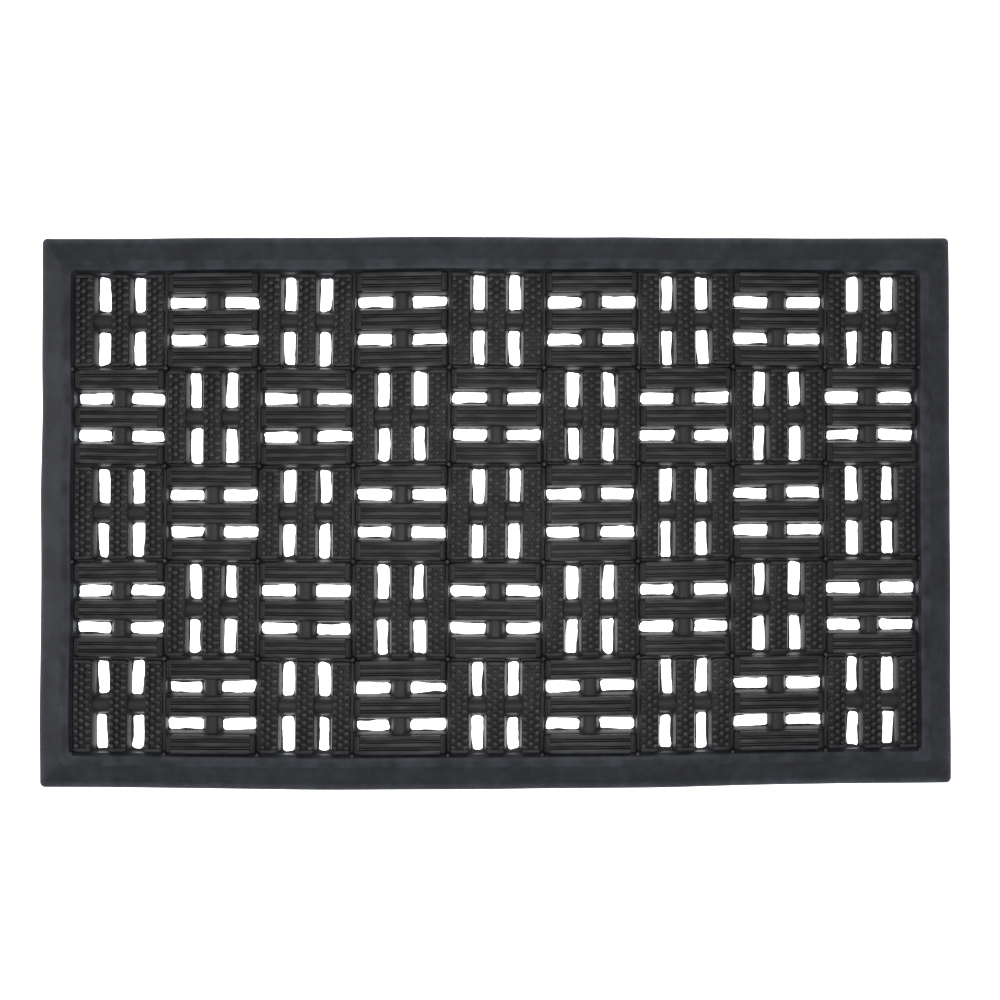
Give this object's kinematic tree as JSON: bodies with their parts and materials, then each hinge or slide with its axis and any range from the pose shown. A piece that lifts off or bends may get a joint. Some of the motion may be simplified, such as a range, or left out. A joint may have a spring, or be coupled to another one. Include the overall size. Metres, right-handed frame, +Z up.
{
  "type": "rubber door mat",
  "caption": "Rectangular moulded rubber drainage door mat: sloping border round a basket-weave field of ribbed and studded blocks with drain slots.",
  "frame": {"origin": "centre of the flat underside, on the floor", "axes": "+X along the length of the mat, +Y across it to the back edge, +Z up, out of the tread"},
  "size_m": [0.762, 0.4572, 0.01],
  "materials": {
    "tread_rubber": "matte moulded recycled rubber",
    "border_rubber": "satin moulded recycled rubber, faintly mottled"
  },
  "bodies": {
    "root": {"border_back": "border_rubber", "border_front": "border_rubber", "border_left": "border_rubber", "border_right": "border_rubber", "studded_block_r1_c1": "tread_rubber", "ribbed_block_r1_c2": "tread_rubber", "studded_block_r1_c3": "tread_rubber", "ribbed_block_r1_c4": "tread_rubber", "studded_block_r1_c5": "tread_rubber", "ribbed_block_r1_c6": "tread_rubber", "studded_block_r1_c7": "tread_rubber", "ribbed_block_r1_c8": "tread_rubber", "studded_block_r1_c9": "tread_rubber", "ribbed_block_r2_c1": "tread_rubber", "studded_block_r2_c2": "tread_rubber", "ribbed_block_r2_c3": "tread_rubber", "studded_block_r2_c4": "tread_rubber", "ribbed_block_r2_c5": "tread_rubber", "studded_block_r2_c6": "tread_rubber", "ribbed_block_r2_c7": "tread_rubber", "studded_block_r2_c8": "tread_rubber", "ribbed_block_r2_c9": "tread_rubber", "studded_block_r3_c1": "tread_rubber", "ribbed_block_r3_c2": "tread_rubber", "studded_block_r3_c3": "tread_rubber", "ribbed_block_r3_c4": "tread_rubber", "studded_block_r3_c5": "tread_rubber", "ribbed_block_r3_c6": "tread_rubber", "studded_block_r3_c7": "tread_rubber", "ribbed_block_r3_c8": "tread_rubber", "studded_block_r3_c9": "tread_rubber", "ribbed_block_r4_c1": "tread_rubber", "studded_block_r4_c2": "tread_rubber", "ribbed_block_r4_c3": "tread_rubber", "studded_block_r4_c4": "tread_rubber", "ribbed_block_r4_c5": "tread_rubber", "studded_block_r4_c6": "tread_rubber", "ribbed_block_r4_c7": "tread_rubber", "studded_block_r4_c8": "tread_rubber", "ribbed_block_r4_c9": "tread_rubber", "studded_block_r5_c1": "tread_rubber", "ribbed_block_r5_c2": "tread_rubber", "studded_block_r5_c3": "tread_rubber", "ribbed_block_r5_c4": "tread_rubber", "studded_block_r5_c5": "tread_rubber", "ribbed_block_r5_c6": "tread_rubber", "studded_block_r5_c7": "tread_rubber", "ribbed_block_r5_c8": "tread_rubber", "studded_block_r5_c9": "tread_rubber"}
  },
  "joints": []
}
